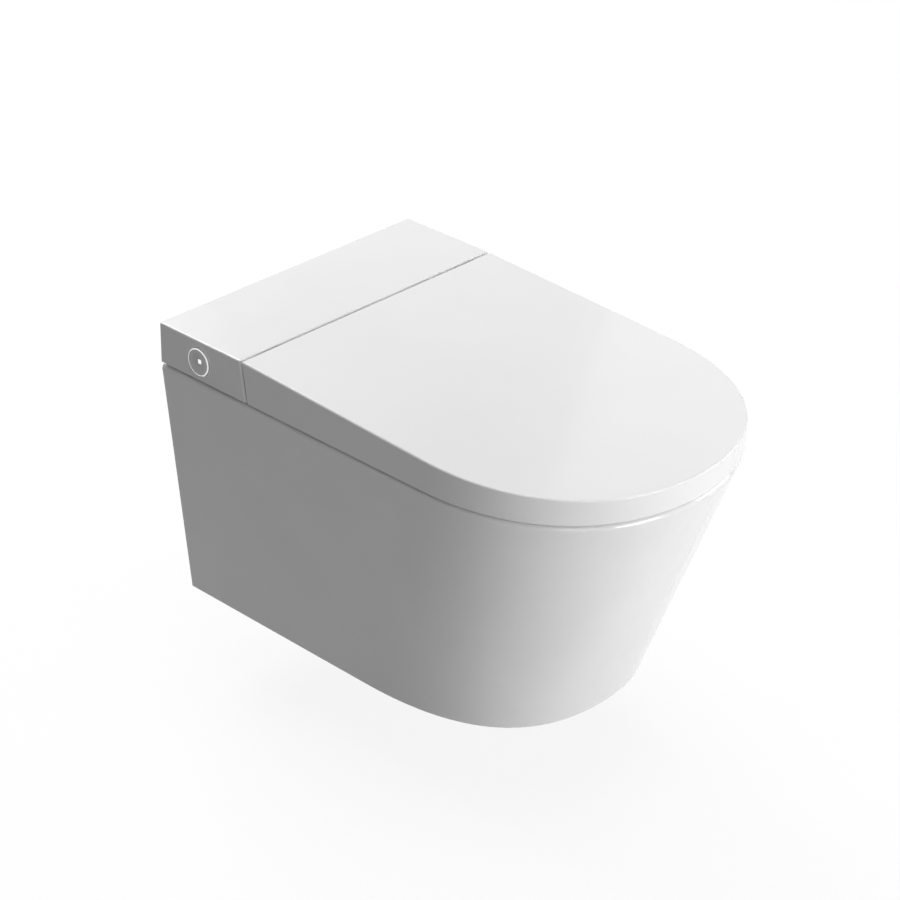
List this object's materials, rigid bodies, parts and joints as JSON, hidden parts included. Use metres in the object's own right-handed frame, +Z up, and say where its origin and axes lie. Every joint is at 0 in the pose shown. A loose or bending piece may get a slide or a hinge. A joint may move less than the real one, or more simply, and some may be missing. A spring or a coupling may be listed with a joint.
{
  "type": "wall hung toilet",
  "caption": "Wall hung toilet with a tapered skirted ceramic pan, a flush sloping lid over a heated seat, and a rear wash unit with a side control knob.",
  "frame": {"origin": "midway between the two wall bolts, on the wall plane", "axes": "+Z up, +Y into the wall, -Y out of the front of the pan, +X to the right seen from the front"},
  "size_m": [0.387, 0.598, 0.352],
  "materials": {
    "glazed_ceramic": "glossy white glaze",
    "cover_plastic": "glossy white moulding",
    "lid_plastic": "glossy white moulding",
    "seat_plastic": "glossy white moulding",
    "knob_plastic": "satin light grey",
    "light_window": "lit from behind",
    "inner_plastic": "moulded grey",
    "dark_plastic": "moulded black",
    "nozzle_plastic": "smooth white",
    "rubber": "matt",
    "pale_rubber": "matt pale grey",
    "steel": "brushed",
    "brass": "machined",
    "board": "green board"
  },
  "bodies": {
    "pan": {"ceramic_bowl": "glazed_ceramic", "housing_cover": "cover_plastic", "left_hinge_block": "inner_plastic", "right_hinge_block": "inner_plastic", "hinge_screws": "steel", "unit_base": "inner_plastic", "base_pads": "rubber", "cover_screws": "steel", "mounting_plate": "steel", "plate_bolts": "steel", "plate_dowels": "rubber", "nozzle_guide": "inner_plastic", "nozzle_motor": "steel", "water_heater": "dark_plastic", "water_pump": "dark_plastic", "solenoid_valve": "dark_plastic", "feed_pipe": "nozzle_plastic", "pump_pipe": "nozzle_plastic", "water_inlet": "brass", "power_gland": "dark_plastic", "control_board": "board", "power_supply": "dark_plastic", "knob_housing": "dark_plastic", "knob_switch": "dark_plastic", "inlet_seal": "rubber"},
    "lid": {"lid": "lid_plastic", "lid_bumpers": "pale_rubber", "hinge_pins": "steel"},
    "seat": {"seat": "seat_plastic", "seat_bumpers": "pale_rubber"},
    "nozzle": {"nozzle_arm": "nozzle_plastic", "nozzle_tip": "nozzle_plastic"},
    "pinion": {"drive_pinion": "brass"},
    "knob_core": {"knob_plunger": "inner_plastic"},
    "knob": {"knob_dial": "knob_plastic", "knob_light": "light_window"}
  },
  "joints": [
    {"name": "lid_hinge", "type": "hinge", "parent": "pan", "child": "lid", "pos_m": [0, -0.1423, 0.13], "axis": [-1, 0, 0], "range_deg": [0, 95]},
    {"name": "seat_hinge", "type": "hinge", "parent": "pan", "child": "seat", "pos_m": [0, -0.1423, 0.13], "axis": [-1, 0, 0], "range_deg": [0, 90]},
    {"name": "nozzle_slide", "type": "slide", "parent": "pan", "child": "nozzle", "axis": [0, -0.9397, -0.342], "range_m": [0, 0.0879]},
    {"name": "pinion_spin", "type": "hinge", "parent": "pan", "child": "pinion", "pos_m": [0.01525, -0.10109, 0.08348], "axis": [0, -0.342, 0.9397], "range_deg": [0, 721]},
    {"name": "knob_press", "type": "slide", "parent": "pan", "child": "knob_core", "axis": [1, 0, 0], "range_m": [0, 0.0015], "stiffness_N_per_m": 1500},
    {"name": "knob_turn", "type": "hinge", "parent": "knob_core", "child": "knob", "pos_m": [-0.1925, -0.062, 0.111], "axis": [-1, 0, 0], "continuous": true}
  ],
  "couplings": [
    {"joint": "seat_hinge", "follows": "lid_hinge", "ratio": 0.947},
    {"joint": "pinion_spin", "follows": "nozzle_slide", "rad_per_m": 142.86}
  ]
}
